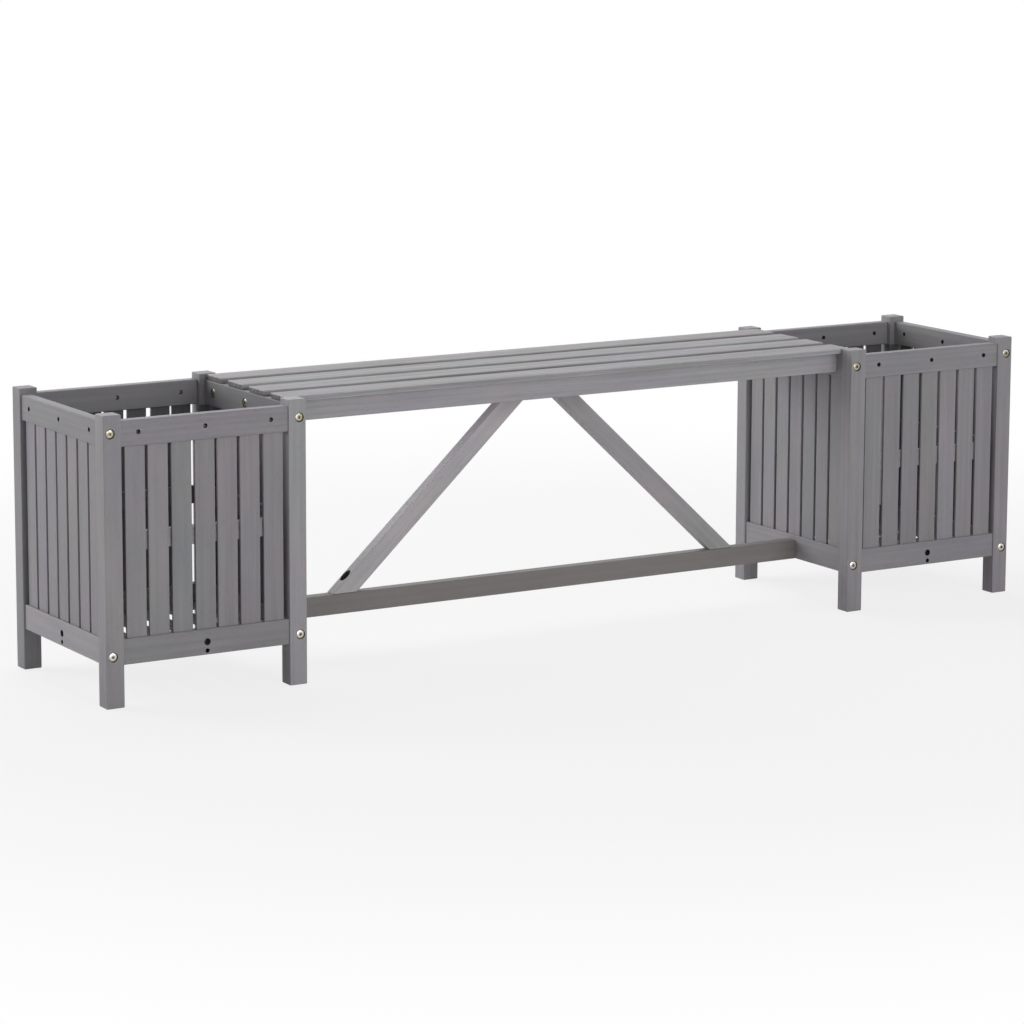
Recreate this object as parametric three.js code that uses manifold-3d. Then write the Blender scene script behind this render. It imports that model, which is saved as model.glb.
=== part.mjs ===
// A slatted bench carried between two square slatted planter boxes, all of grey-washed hardwood.
// Millimetres. The bench runs along X, its front faces -Y, Z is up, and the origin is on the
// ground below the middle of the bench.

import * as THREE from 'three';
import { mergeVertices } from 'three/addons/utils/BufferGeometryUtils.js';
import Module from 'manifold-3d';

const wasm = await Module();
wasm.setup();

// The whole object
const benchLength = 1500;
const planterWidth = 298;
const planterDepth = 294;
const planterHeight = 392;

// Gap left between two pieces that touch, and how far a cutter runs past what it cuts
const fitGap = 0.3;
const overrun = 4;

// Legs
const legWidth = 26;
const legDepth = 25;
const legEase = 1.5;

// Rails, set back from the faces of the legs
const railThickness = 15;
const railHeight = 35;
const railSetback = 2.5;
const railEase = 1.5;
const topRailDrop = 8.5;
const bottomRailLift = 57;

// Tenons on the ends of the front and back rails
const tenonThickness = 7;
const tenonShoulder = 0.5;
const mortiseWall = 2.2;

// Holes drilled through every rail: seat holes in a top rail, frame holes in a bottom rail
const seatHoleRise = 18.5;
const seatHoleInset = 24.5;
const frameHoleDiameter = 9.4;
const frameHoleRise = 17.7;
const dowelHoleDiameter = 6.2;
const dowelHoleRise = 5.7;

// Upright slats of a panel, set back from the faces of the legs, and the batten behind them
const panelSlatCount = 7;
const panelSlatGap = 5.2;
const panelSlatThickness = 4;
const panelSlatSetback = 6;
const grooveDepth = 7;
const battenThickness = 10;
const battenHeight = 25;
const battenInset = 6.8;

// Slatted floor of a planter
const floorSlatCount = 6;
const floorSideGap = 0.5;
const floorSlatWidth = 20;
const floorSlatThickness = 6.5;
const floorNotch = 1.5;
const floorCleatWidth = 14;
const floorCleatHeight = 5.5;

// Seat
const seatSlatCount = 4;
const seatSideGap = 2.7;
const seatSlatGap = 18.2;
const seatSlatThickness = 7.6;
const seatSlatEase = 1.8;
const seatEndInset = 1.5;

// Boards of the bench's frame
const frameBoardHeight = 28.7;
const frameBoardThickness = 18;
const frameBoardEase = 1.2;
const centreCleatWidth = 16;
const braceWidth = 26.5;
const braceHeelInset = 155;
const braceBoreInset = 14;
const braceBoreDiameter = 14.5;
const braceBoreFloor = 12;

// Bolts, all of one kind in four lengths
const boltDiameter = 5.8;
const boltHeadDiameter = 12.5;
const boltHeadHeight = 4;
const boltHeadDome = 1;
const boltSocketSize = 4.6;
const boltSocketDepth = 2.6;
const headClearance = 0.75;
const headSink = 0.4;
const legBoltReach = 14;
const highBoltDrop = 16.5;
const lowBoltRise = 12.5;
const frameBoltReach = 35;
const braceBoltReach = 20;
const seatBoltReach = 14;
const boltTipSpace = 2;

// Sides of the many-sided prisms that stand for round heads, shanks and holes
const headSides = 12;
const shankSides = 8;
const socketSides = 6;

// Worked out from the sizes above
const planterCentre = (benchLength - planterWidth) / 2;
const halfWidth = planterWidth / 2;
const halfDepth = planterDepth / 2;
const legInnerX = halfWidth - legWidth;
const legInnerY = halfDepth - legDepth;
const railCentreInset = railSetback + railThickness / 2;
const railInnerInset = railSetback + railThickness;
const slatCentreInset = panelSlatSetback + panelSlatThickness / 2;
const topRailTop = planterHeight - topRailDrop;
const topRailBottom = topRailTop - railHeight;
const bottomRailTop = bottomRailLift + railHeight;
const boltHoleDiameter = boltDiameter + 2 * fitGap;
const headHoleDiameter = boltHeadDiameter + 2 * headClearance;
const mortiseDepth = legWidth - railCentreInset - boltHoleDiameter / 2 - mortiseWall;
const tenonHeight = railHeight - 2 * (grooveDepth + tenonShoulder);
const highBoltZ = topRailTop - highBoltDrop;
const lowBoltZ = bottomRailLift + lowBoltRise;
const seatHoleZ = topRailBottom + seatHoleRise;
const seatHoleSpacing = legInnerY - seatHoleInset;
const frameHoleZ = bottomRailLift + frameHoleRise;
const dowelHoleZ = bottomRailLift + dowelHoleRise;
const innerRailFace = planterCentre - halfWidth + railSetback;
const innerRailBack = innerRailFace + railThickness;
const battenBottom = (bottomRailTop + topRailBottom - battenHeight) / 2;
const floorSlatPitch = (2 * (legInnerX - floorSideGap) - floorSlatWidth) / (floorSlatCount - 1);
const floorTop = bottomRailLift + fitGap + floorCleatHeight + floorSlatThickness - floorNotch;
const frameTop = topRailTop;
const frameBottom = frameTop - frameBoardHeight;
const stretcherTop = bottomRailLift + frameBoardHeight;
const seatSpread = 2 * (legInnerY - seatSideGap);
const seatSlatWidth = (seatSpread - (seatSlatCount - 1) * seatSlatGap) / seatSlatCount;
const braceHeelReach = innerRailFace - braceHeelInset;
const braceBoreReach = braceHeelReach + braceBoreInset;

const wood = {
  leg: new THREE.MeshStandardMaterial({ color: '#939394', roughness: 0.72, metalness: 0 }),
  rail: new THREE.MeshStandardMaterial({ color: '#8b8b8d', roughness: 0.72, metalness: 0 }),
  panel: new THREE.MeshStandardMaterial({ color: '#878789', roughness: 0.75, metalness: 0 }),
  floor: new THREE.MeshStandardMaterial({ color: '#7d7c7b', roughness: 0.78, metalness: 0 }),
  seat: new THREE.MeshStandardMaterial({ color: '#aaabab', roughness: 0.66, metalness: 0 }),
  frame: new THREE.MeshStandardMaterial({ color: '#8e8e8d', roughness: 0.72, metalness: 0 }),
};
const boltMetal = new THREE.MeshStandardMaterial({ color: '#b5ad92', roughness: 0.35, metalness: 0.9 });

// Turns a closed geometry into a solid that can be joined and cut.
function solidOf(geometry) {
  geometry.deleteAttribute('normal');
  geometry.deleteAttribute('uv');
  const merged = mergeVertices(geometry);
  const vertProperties = new Float32Array(merged.getAttribute('position').array);
  const triVerts = new Uint32Array(merged.getIndex().array);
  return new wasm.Manifold(new wasm.Mesh({ numProp: 3, vertProperties, triVerts }));
}

// Turns a finished solid back into a geometry.
function geometryOf(solid) {
  const mesh = solid.getMesh();
  const geometry = new THREE.BufferGeometry();
  geometry.setAttribute('position', new THREE.BufferAttribute(mesh.vertProperties, mesh.numProp));
  geometry.setIndex(new THREE.BufferAttribute(mesh.triVerts, 1));
  geometry.computeVertexNormals();
  return geometry;
}

// Matrix that stands a shape drawn in X and Y, and extruded along Z, along another axis.
function standAlong(axis) {
  const across = { x: ['y', 'z', 'x'], y: ['z', 'x', 'y'], z: ['x', 'y', 'z'] }[axis];
  const unit = {
    x: new THREE.Vector3(1, 0, 0),
    y: new THREE.Vector3(0, 1, 0),
    z: new THREE.Vector3(0, 0, 1),
  };
  return new THREE.Matrix4().makeBasis(unit[across[0]], unit[across[1]], unit[across[2]]);
}

// A straight board that fills three spans, its grain along one axis, with its long edges eased.
// A board that shows its ends has them eased too.
function board(spans, grain, ease = 0, endEase = 0) {
  const [u, v, w] = { x: ['y', 'z', 'x'], y: ['z', 'x', 'y'], z: ['x', 'y', 'z'] }[grain];
  const low = (axis) => Math.min(...spans[axis]);
  const high = (axis) => Math.max(...spans[axis]);
  const section = new THREE.Shape();
  if (ease > 0) {
    section.moveTo(low(u) + ease, low(v));
    section.lineTo(high(u) - ease, low(v));
    section.lineTo(high(u), low(v) + ease);
    section.lineTo(high(u), high(v) - ease);
    section.lineTo(high(u) - ease, high(v));
    section.lineTo(low(u) + ease, high(v));
    section.lineTo(low(u), high(v) - ease);
    section.lineTo(low(u), low(v) + ease);
  } else {
    section.moveTo(low(u), low(v));
    section.lineTo(high(u), low(v));
    section.lineTo(high(u), high(v));
    section.lineTo(low(u), high(v));
  }
  section.closePath();
  const geometry = new THREE.ExtrudeGeometry(section, {
    depth: high(w) - low(w) - 2 * endEase,
    bevelEnabled: endEase > 0,
    bevelThickness: endEase,
    bevelSize: endEase,
    bevelOffset: -endEase,
    bevelSegments: 1,
  });
  geometry.translate(0, 0, low(w) + endEase);
  geometry.applyMatrix4(standAlong(grain));
  return solidOf(geometry);
}

// A round rod along one axis, from one place to another, through a point across that axis.
function rod(axis, from, to, centre, diameter, sides, tipDiameter = diameter) {
  const length = Math.abs(to - from);
  const ends = to > from ? [tipDiameter, diameter] : [diameter, tipDiameter];
  const geometry = new THREE.CylinderGeometry(ends[0] / 2, ends[1] / 2, length, sides);
  geometry.rotateX(Math.PI / 2);
  geometry.applyMatrix4(standAlong(axis));
  const middle = { ...centre, [axis]: (from + to) / 2 };
  geometry.translate(middle.x, middle.y, middle.z);
  return solidOf(geometry);
}

// A bolt whose head starts at a seat and points one way along an axis, its shank the other way.
function bolt(axis, seat, away, centre, length) {
  const headTop = seat + away * boltHeadHeight;
  const rim = headTop - away * boltHeadDome;
  const socketFloor = headTop - away * boltSocketDepth;
  const crown = boltHeadDiameter - 2 * boltHeadDome;
  const shank = rod(axis, seat + away * boltHeadHeight / 2, seat - away * length, centre,
    boltDiameter, shankSides);
  return rod(axis, seat, rim, centre, boltHeadDiameter, headSides)
    .add(rod(axis, rim, headTop, centre, boltHeadDiameter, headSides, crown))
    .add(shank)
    .subtract(rod(axis, socketFloor, headTop + away * overrun, centre, boltSocketSize, socketSides));
}

const bench = new THREE.Group();

function place(group, name, solid, material) {
  const mesh = new THREE.Mesh(geometryOf(solid), material);
  mesh.name = name;
  group.add(mesh);
}

// How deep the seat of a bolt's head lies below the face of the leg or rail that it is sunk into.
const boltSeat = boltHeadHeight + headSink;

// A leg at one corner of a planter: mortises for two rails in its inner side, two bolt holes.
function leg(sideX, sideY) {
  const across = sideX * (halfWidth - railCentreInset);
  const face = sideY * halfDepth;
  const railLine = sideY * (halfDepth - railCentreInset);
  let solid = board({
    x: [sideX * halfWidth, sideX * legInnerX],
    y: [face, sideY * legInnerY],
    z: [0, planterHeight],
  }, 'z', legEase, legEase);
  for (const [railBottom, boltZ] of [[bottomRailLift, lowBoltZ], [topRailBottom, highBoltZ]]) {
    const tenonBottom = railBottom + grooveDepth + tenonShoulder;
    const mortise = board({
      x: [sideX * (legInnerX + mortiseDepth), sideX * (legInnerX - overrun)],
      y: [railLine - tenonThickness / 2 - fitGap, railLine + tenonThickness / 2 + fitGap],
      z: [tenonBottom - fitGap, tenonBottom + tenonHeight + fitGap],
    }, 'x');
    const centre = { x: across, z: boltZ };
    const shankHole = rod('y', face + sideY * overrun, sideY * (legInnerY - overrun), centre,
      boltHoleDiameter, shankSides);
    const headHole = rod('y', face + sideY * overrun, face - sideY * boltSeat, centre,
      headHoleDiameter, headSides);
    solid = solid.subtract(mortise).subtract(shankHole).subtract(headHole);
  }
  return solid;
}

// Groove along a rail for the ends of the slats, open towards the inside of the panel's frame.
function groove(slatLine, axis, edge, into, halfLength) {
  const across = axis === 'x' ? 'y' : 'x';
  const half = panelSlatThickness / 2 + fitGap;
  return board({
    [axis]: [-halfLength - overrun, halfLength + overrun],
    [across]: [slatLine - half, slatLine + half],
    z: [edge - into * overrun, edge + into * grooveDepth],
  }, axis);
}

// Through holes of a rail, across its thickness.
function railHoles(railLine, axis, isTop) {
  const across = axis === 'x' ? 'y' : 'x';
  const from = railLine - railThickness;
  const to = railLine + railThickness;
  const holes = isTop
    ? [-seatHoleSpacing, 0, seatHoleSpacing].map((along) => [along, seatHoleZ, boltHoleDiameter])
    : [[0, frameHoleZ, frameHoleDiameter], [0, dowelHoleZ, dowelHoleDiameter]];
  return holes.map(([along, z, diameter]) =>
    rod(across, from, to, { [axis]: along, z }, diameter, shankSides));
}

// Holes for the bolt heads, sunk into the inner face of a side rail that carries the bench.
function headHoles(side, isTop) {
  const face = side * (halfWidth - railInnerInset);
  const seat = face + side * boltSeat;
  const spots = isTop
    ? [-seatHoleSpacing, 0, seatHoleSpacing].map((y) => ({ y, z: seatHoleZ }))
    : [{ y: 0, z: frameHoleZ }];
  return spots.map((centre) =>
    rod('x', face - side * overrun, seat, centre, headHoleDiameter, headSides));
}

// A rail between two legs. The grain runs along x in a front or back rail, along y in a side rail.
function rail(axis, side, isTop, carriesBench) {
  const isFront = axis === 'x';
  const across = isFront ? 'y' : 'x';
  const legFace = isFront ? halfDepth : halfWidth;
  const railLine = side * (legFace - railCentreInset);
  const slatLine = side * (legFace - slatCentreInset);
  const halfLength = (isFront ? legInnerX : legInnerY) - fitGap;
  const bottom = isTop ? topRailBottom : bottomRailLift;
  const top = bottom + railHeight;
  let solid = board({
    [axis]: [-halfLength, halfLength],
    [across]: [railLine - railThickness / 2, railLine + railThickness / 2],
    z: [bottom, top],
  }, axis, railEase);
  solid = solid.subtract(isTop ? groove(slatLine, axis, bottom, 1, halfLength)
    : groove(slatLine, axis, top, -1, halfLength));
  if (isFront) {
    const tenonBottom = bottom + grooveDepth + tenonShoulder;
    const tenonReach = legInnerX + mortiseDepth - fitGap;
    solid = solid.add(board({
      x: [-tenonReach, tenonReach],
      y: [railLine - tenonThickness / 2, railLine + tenonThickness / 2],
      z: [tenonBottom, tenonBottom + tenonHeight],
    }, 'x'));
  } else {
    const boltZ = isTop ? highBoltZ : lowBoltZ;
    for (const end of [-1, 1]) {
      solid = solid.subtract(rod('y', end * (halfLength + overrun),
        end * (legInnerY - legBoltReach - boltTipSpace), { x: railLine, z: boltZ },
        boltHoleDiameter, shankSides));
    }
  }
  const holes = railHoles(railLine, axis, isTop);
  for (const hole of carriesBench ? [...holes, ...headHoles(side, isTop)] : holes) {
    solid = solid.subtract(hole);
  }
  return solid;
}

// The slats of one panel, which stand in the grooves, with the batten that ties them inside.
function panel(axis, side) {
  const isFront = axis === 'x';
  const across = isFront ? 'y' : 'x';
  const slatFace = side * ((isFront ? halfDepth : halfWidth) - panelSlatSetback);
  const halfSpan = isFront ? legInnerX : legInnerY;
  const slatWidth = (2 * halfSpan - (panelSlatCount + 1) * panelSlatGap) / panelSlatCount;
  const slatBack = slatFace - side * panelSlatThickness;
  const battenReach = halfSpan - panelSlatGap - battenInset;
  let solid = board({
    [axis]: [-battenReach, battenReach],
    [across]: [slatBack, slatBack - side * battenThickness],
    z: [battenBottom, battenBottom + battenHeight],
  }, axis);
  for (let i = 0; i < panelSlatCount; i += 1) {
    const start = -halfSpan + panelSlatGap + i * (slatWidth + panelSlatGap);
    solid = solid.add(board({
      [axis]: [start, start + slatWidth],
      [across]: [slatBack, slatFace],
      z: [bottomRailTop - grooveDepth + fitGap, topRailBottom + grooveDepth - fitGap],
    }, 'z'));
  }
  return solid;
}

// The floor of a planter: slats from front to back, notched over a cleat on the front and back rail.
function floorGrille() {
  const reachY = halfDepth - railInnerInset - fitGap;
  const cleatBottom = bottomRailLift + fitGap;
  const cleatTop = cleatBottom + floorCleatHeight;
  let solid = null;
  for (const side of [-1, 1]) {
    const cleat = board({
      x: [-legInnerX + fitGap, legInnerX - fitGap],
      y: [side * reachY, side * (reachY - floorCleatWidth)],
      z: [cleatBottom, cleatTop],
    }, 'x');
    solid = solid ? solid.add(cleat) : cleat;
  }
  for (let i = 0; i < floorSlatCount; i += 1) {
    const middle = (i - (floorSlatCount - 1) / 2) * floorSlatPitch;
    solid = solid.add(board({
      x: [middle - floorSlatWidth / 2, middle + floorSlatWidth / 2],
      y: [-reachY, reachY],
      z: [floorTop - floorSlatThickness, floorTop],
    }, 'y'));
  }
  return solid;
}

// One whole planter box, and the bolts in its two front legs. One of its side rails carries the bench.
function planter(name, centreX) {
  const group = new THREE.Group();
  group.position.x = centreX;
  for (const [sideXName, sideX] of [['left', -1], ['right', 1]]) {
    for (const [sideYName, sideY] of [['front', -1], ['back', 1]]) {
      place(group, `${name}_leg_${sideYName}_${sideXName}`, leg(sideX, sideY), wood.leg);
    }
  }
  const walls = [['front', 'x', -1], ['back', 'x', 1], ['left', 'y', -1], ['right', 'y', 1]];
  for (const [wall, axis, side] of walls) {
    const carriesBench = axis === 'y' && side * centreX < 0;
    place(group, `${name}_top_rail_${wall}`, rail(axis, side, true, carriesBench), wood.rail);
    place(group, `${name}_bottom_rail_${wall}`, rail(axis, side, false, carriesBench), wood.rail);
    place(group, `${name}_panel_slats_${wall}`, panel(axis, side), wood.panel);
  }
  place(group, `${name}_floor_slats`, floorGrille(), wood.floor);
  const legBoltLength = legDepth - boltSeat + legBoltReach;
  for (const [sideName, side] of [['left', -1], ['right', 1]]) {
    for (const [levelName, z] of [['top', highBoltZ], ['bottom', lowBoltZ]]) {
      const centre = { x: side * (halfWidth - railCentreInset), z };
      place(group, `${name}_leg_bolt_${sideName}_${levelName}`,
        bolt('y', -halfDepth + boltSeat, -1, centre, legBoltLength), boltMetal);
    }
  }
  return group;
}

bench.add(planter('left_planter', -planterCentre));
bench.add(planter('right_planter', planterCentre));

// Seat slats, which lie on the inner top rails of both planters
const seatPitch = seatSlatWidth + seatSlatGap;
for (let i = 0; i < seatSlatCount; i += 1) {
  const middle = (i - (seatSlatCount - 1) / 2) * seatPitch;
  const end = innerRailBack - seatEndInset;
  place(bench, `seat_slat_${i + 1}`, board({
    x: [-end, end],
    y: [middle - seatSlatWidth / 2, middle + seatSlatWidth / 2],
    z: [topRailTop + fitGap, topRailTop + fitGap + seatSlatThickness],
  }, 'x', seatSlatEase, seatSlatEase), wood.seat);
}

// Aprons, their ends drilled for the seat bolts
const frameEnd = innerRailFace - fitGap;
const seatBoltHoleEnd = innerRailFace - seatBoltReach - boltTipSpace;
for (const [name, side] of [['front', -1], ['back', 1]]) {
  const middle = side * seatHoleSpacing;
  let apron = board({
    x: [-frameEnd, frameEnd],
    y: [middle - frameBoardThickness / 2, middle + frameBoardThickness / 2],
    z: [frameBottom, frameTop],
  }, 'x', frameBoardEase);
  for (const end of [-1, 1]) {
    apron = apron.subtract(rod('x', end * (frameEnd + overrun), end * seatBoltHoleEnd,
      { y: middle, z: seatHoleZ }, boltHoleDiameter, shankSides));
  }
  place(bench, `apron_${name}`, apron, wood.frame);
}

// Cleats between the aprons: one at each end, one in the middle
const cleatReach = seatHoleSpacing - frameBoardThickness / 2 - fitGap;
for (const [name, side] of [['left', -1], ['right', 1]]) {
  const cleat = board({
    x: [side * frameEnd, side * (frameEnd - frameBoardThickness)],
    y: [-cleatReach, cleatReach],
    z: [frameBottom, frameTop],
  }, 'y', frameBoardEase);
  place(bench, `end_cleat_${name}`, cleat.subtract(rod('x', side * (frameEnd + overrun),
    side * seatBoltHoleEnd, { y: 0, z: seatHoleZ }, boltHoleDiameter, shankSides)), wood.frame);
}
place(bench, 'centre_cleat', board({
  x: [-centreCleatWidth / 2, centreCleatWidth / 2],
  y: [-cleatReach, cleatReach],
  z: [frameBottom, frameTop],
}, 'y', frameBoardEase), wood.frame);

// Stretcher between the inner bottom rails, bored at its ends for a bolt and a dowel, and on top
// for the brace bolts
let stretcher = board({
  x: [-frameEnd, frameEnd],
  y: [-frameBoardThickness / 2, frameBoardThickness / 2],
  z: [bottomRailLift, stretcherTop],
}, 'x', frameBoardEase);
for (const end of [-1, 1]) {
  stretcher = stretcher.subtract(rod('x', end * (frameEnd + overrun),
    end * (innerRailFace - frameBoltReach - boltTipSpace), { y: 0, z: frameHoleZ },
    boltHoleDiameter, shankSides));
  stretcher = stretcher.subtract(rod('z', stretcherTop + overrun,
    stretcherTop - braceBoltReach - boltTipSpace, { x: end * braceBoreReach, y: 0 },
    boltHoleDiameter, shankSides));
}
place(bench, 'stretcher', stretcher, wood.frame);

// Braces, whose lower edge runs from the heel on the stretcher to the foot of the centre cleat.
// The lower end is cut level and the upper end plumb against the cleat, then level below the seat.
const braceFoot = stretcherTop + fitGap;
const braceHead = frameTop;
const braceSide = centreCleatWidth / 2 + fitGap;
const braceSlope = Math.atan2(frameBottom - braceFoot, braceHeelReach - braceSide);
const braceToeReach = braceHeelReach + braceWidth / Math.sin(braceSlope);
const braceTopReach = braceToeReach - (braceHead - braceFoot) / Math.tan(braceSlope);
const braceBoreZ = braceFoot + braceBoreFloor;
const braceSeatReach = braceBoltReach + braceBoreFloor + fitGap;
function brace(side) {
  const outline = new THREE.Shape();
  outline.moveTo(side * braceToeReach, braceFoot);
  outline.lineTo(side * braceHeelReach, braceFoot);
  outline.lineTo(side * braceSide, frameBottom);
  outline.lineTo(side * braceSide, braceHead);
  outline.lineTo(side * braceTopReach, braceHead);
  outline.closePath();
  const geometry = new THREE.ExtrudeGeometry(outline, {
    depth: frameBoardThickness - 2 * frameBoardEase,
    bevelEnabled: true,
    bevelThickness: frameBoardEase,
    bevelSize: frameBoardEase,
    bevelOffset: -frameBoardEase,
    bevelSegments: 1,
  });
  geometry.rotateX(Math.PI / 2);
  geometry.translate(0, frameBoardThickness / 2 - frameBoardEase, 0);
  const centre = { x: side * braceBoreReach, y: 0 };
  return solidOf(geometry)
    .subtract(rod('z', braceBoreZ, braceHead, centre, braceBoreDiameter, headSides))
    .subtract(rod('z', braceFoot - overrun, braceHead, centre, boltHoleDiameter, shankSides));
}
for (const [name, side] of [['left', -1], ['right', 1]]) {
  place(bench, `brace_${name}`, brace(side), wood.frame);
  place(bench, `brace_bolt_${name}`, bolt('z', braceBoreZ, 1,
    { x: side * braceBoreReach, y: 0 }, braceSeatReach), boltMetal);
}

// Bolts from inside the planters: one at each end of the stretcher, and two of the seat bolts
const stretcherBoltLength = railThickness - boltSeat + frameBoltReach;
const seatBoltLength = railThickness - boltSeat + seatBoltReach;
for (const [name, side] of [['left', -1], ['right', 1]]) {
  place(bench, `stretcher_bolt_${name}`, bolt('x', side * (innerRailBack - boltSeat), side,
    { y: 0, z: frameHoleZ }, stretcherBoltLength), boltMetal);
}
for (const [name, y] of [['centre', 0], ['back', seatHoleSpacing]]) {
  place(bench, `seat_bolt_left_${name}`, bolt('x', boltSeat - innerRailBack, -1,
    { y, z: seatHoleZ }, seatBoltLength), boltMetal);
}

export default bench;
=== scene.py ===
import math
import random

import bmesh
import bpy
import numpy as np
from mathutils import Matrix, Vector


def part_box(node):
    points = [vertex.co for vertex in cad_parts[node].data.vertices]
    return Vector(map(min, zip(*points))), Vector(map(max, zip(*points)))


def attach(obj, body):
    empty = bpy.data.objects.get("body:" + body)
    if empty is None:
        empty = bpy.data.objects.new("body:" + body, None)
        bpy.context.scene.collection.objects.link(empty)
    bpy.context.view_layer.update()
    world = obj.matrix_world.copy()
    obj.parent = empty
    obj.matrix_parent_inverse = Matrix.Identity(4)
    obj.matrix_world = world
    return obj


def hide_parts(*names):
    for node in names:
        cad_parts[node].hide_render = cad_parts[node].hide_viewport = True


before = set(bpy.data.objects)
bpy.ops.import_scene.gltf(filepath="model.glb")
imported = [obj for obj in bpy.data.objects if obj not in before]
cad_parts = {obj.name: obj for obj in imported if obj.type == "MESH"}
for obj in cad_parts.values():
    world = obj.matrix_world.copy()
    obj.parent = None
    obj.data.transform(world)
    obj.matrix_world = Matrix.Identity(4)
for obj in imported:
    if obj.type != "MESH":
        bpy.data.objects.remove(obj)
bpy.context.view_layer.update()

# The camera
# It stands to the left in front of the bench and looks down along it a little through a long lens.
# Lengths are metres, and the picture is a square counted in pixels.
picture_side_px = 1024
focal_length_px = 3676.4
optical_centre_down_px = 420
camera_place = Vector((-2.7277, -4.4585, 1.1604))
camera_heading = math.radians(31.045)
camera_dip = math.radians(9.297)
camera_tilt = math.radians(-0.187)

camera_data = bpy.data.cameras.new("camera")
camera_data.lens = camera_data.sensor_width * focal_length_px / picture_side_px
camera_data.shift_y = (optical_centre_down_px - picture_side_px / 2) / picture_side_px
camera = bpy.data.objects.new("camera", camera_data)
camera.location = camera_place
camera.rotation_euler = (math.pi / 2 - camera_dip, camera_tilt, -camera_heading)
bpy.context.scene.collection.objects.link(camera)
bpy.context.scene.camera = camera

# The studio
# The bench stands on a pale floor that fades into white with distance. One soft lamp stands behind
# it at its left, a second far off in front of it, and a third hangs over it a little to the back.
floor_radius = 4.0
floor_sides = 96
floor_paleness = 0.92
veil_near_radius = 0.9
veil_far_radius = 2.0
veil_near_share = 0.8
room_light = 0.209

# Each lamp's name, width in metres, watts and place
lamps = (
    ("overhead_lamp", 2.6, 43, Vector((0.3, 1.8, 2.8))),
    ("left_lamp", 2.4, 107, Vector((-3.4, 3.6, 1.7))),
    ("front_lamp", 3.0, 93, Vector((0.5, -5.5, 1.4))),
)

white = (1, 1, 1, 1)


def add_node(finish, kind, settings=None, inputs=None):
    """Adds a node with its settings, and links or sets its inputs by name or place."""
    node = finish.node_tree.nodes.new(kind)
    for key, value in (settings or {}).items():
        setattr(node, key, value)
    for key, value in (inputs or {}).items():
        if isinstance(value, bpy.types.NodeSocket):
            finish.node_tree.links.new(value, node.inputs[key])
        else:
            node.inputs[key].default_value = value
    return node


bpy.ops.object.select_all(action="DESELECT")
bpy.ops.mesh.primitive_circle_add(vertices=floor_sides, radius=floor_radius, fill_type="NGON")
floor = bpy.context.object
floor.name = "studio_floor"
floor_finish = bpy.data.materials.new("studio_floor")
floor_finish.use_nodes = True
ray = add_node(floor_finish, "ShaderNodeLightPath")
place = add_node(floor_finish, "ShaderNodeTexCoord")
distance = add_node(floor_finish, "ShaderNodeVectorMath", {"operation": "LENGTH"},
                    {0: place.outputs["Object"]})
veil = add_node(floor_finish, "ShaderNodeMapRange", {"interpolation_type": "SMOOTHSTEP"}, {
    "Value": distance.outputs["Value"], "From Min": veil_near_radius, "From Max": veil_far_radius,
    "To Min": veil_near_share, "To Max": 1})
seen_veil = add_node(floor_finish, "ShaderNodeMath", {"operation": "MULTIPLY"},
                     {0: veil.outputs["Result"], 1: ray.outputs["Is Camera Ray"]})
paint = (floor_paleness, floor_paleness, floor_paleness, 1)
matt = add_node(floor_finish, "ShaderNodeBsdfDiffuse", inputs={"Color": paint})
glow = add_node(floor_finish, "ShaderNodeEmission", inputs={"Color": white, "Strength": 1})
floor_mix = add_node(floor_finish, "ShaderNodeMixShader", inputs={
    0: seen_veil.outputs["Value"], 1: matt.outputs["BSDF"], 2: glow.outputs["Emission"]})
floor_finish.node_tree.links.new(
    floor_mix.outputs["Shader"],
    floor_finish.node_tree.nodes["Material Output"].inputs["Surface"])
floor.data.materials.append(floor_finish)

world = bpy.data.worlds.new("studio")
world.use_nodes = True
bpy.context.scene.world = world
ray = add_node(world, "ShaderNodeLightPath")
seen = add_node(world, "ShaderNodeMath", {"operation": "MAXIMUM"},
                {0: ray.outputs["Is Camera Ray"], 1: ray.outputs["Is Glossy Ray"]})
seen = add_node(world, "ShaderNodeMath", {"operation": "MAXIMUM"},
                {0: seen.outputs["Value"], 1: ray.outputs["Is Transmission Ray"]})
strength = add_node(world, "ShaderNodeMapRange", inputs={
    "Value": seen.outputs["Value"], "To Min": room_light, "To Max": 1})
background = world.node_tree.nodes["Background"]
background.inputs["Color"].default_value = white
world.node_tree.links.new(strength.outputs["Result"], background.inputs["Strength"])
bpy.context.scene.view_settings.view_transform = "Standard"

seat_middle = Vector((0, 0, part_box("seat_slat_1")[1].z))
for name, size, watts, spot in lamps:
    lamp_data = bpy.data.lights.new(name, "AREA")
    lamp_data.shape = "SQUARE"
    lamp_data.size = size
    lamp_data.energy = watts
    lamp = bpy.data.objects.new(name, lamp_data)
    lamp.location = spot
    lamp.rotation_euler = (seat_middle - spot).to_track_quat("-Z", "Y").to_euler()
    bpy.context.scene.collection.objects.link(lamp)

# Legs
# Each planter has four square posts of planed hardwood under a grey wash, mortised for the front and
# back rails and counterbored for the bolts of the side rails. Their faces beside the slats carry
# painted shade, darker the further they lie behind the outer faces.
planters = ("left_planter", "right_planter")
fit = 0.0003
cutter_overrun = 0.004
leg_arris = 0.0014
arris_steps = 3
smooth_angle = math.radians(35)
head_hole_diameter = 0.0131
head_hole_depth = 0.0044
shank_hole_diameter = 0.0064
round_sides = 40
rail_tenon_thickness = 0.007
rail_groove_depth = 0.007
tenon_shoulder = 0.0005
recess_fade = 0.001
leg_wash = (0.3526, 0.3421, 0.3643)
leg_end_cover = 0.22
# Depths behind the outer faces between which painted shade darkens the legs and the slats, and the share
# of their colour it leaves at the deepest
leg_shade_depths = (0.001, 0.011)
slat_shade_depths = (0.0018, 0.0042)
painted_shade_deepest = 0.45
bare_timber = (0.165, 0.147, 0.133)
# Painted shade: drilled holes are drawn near black inside
bore_painted_shade = (0.034, 0.026, 0.021)
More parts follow.
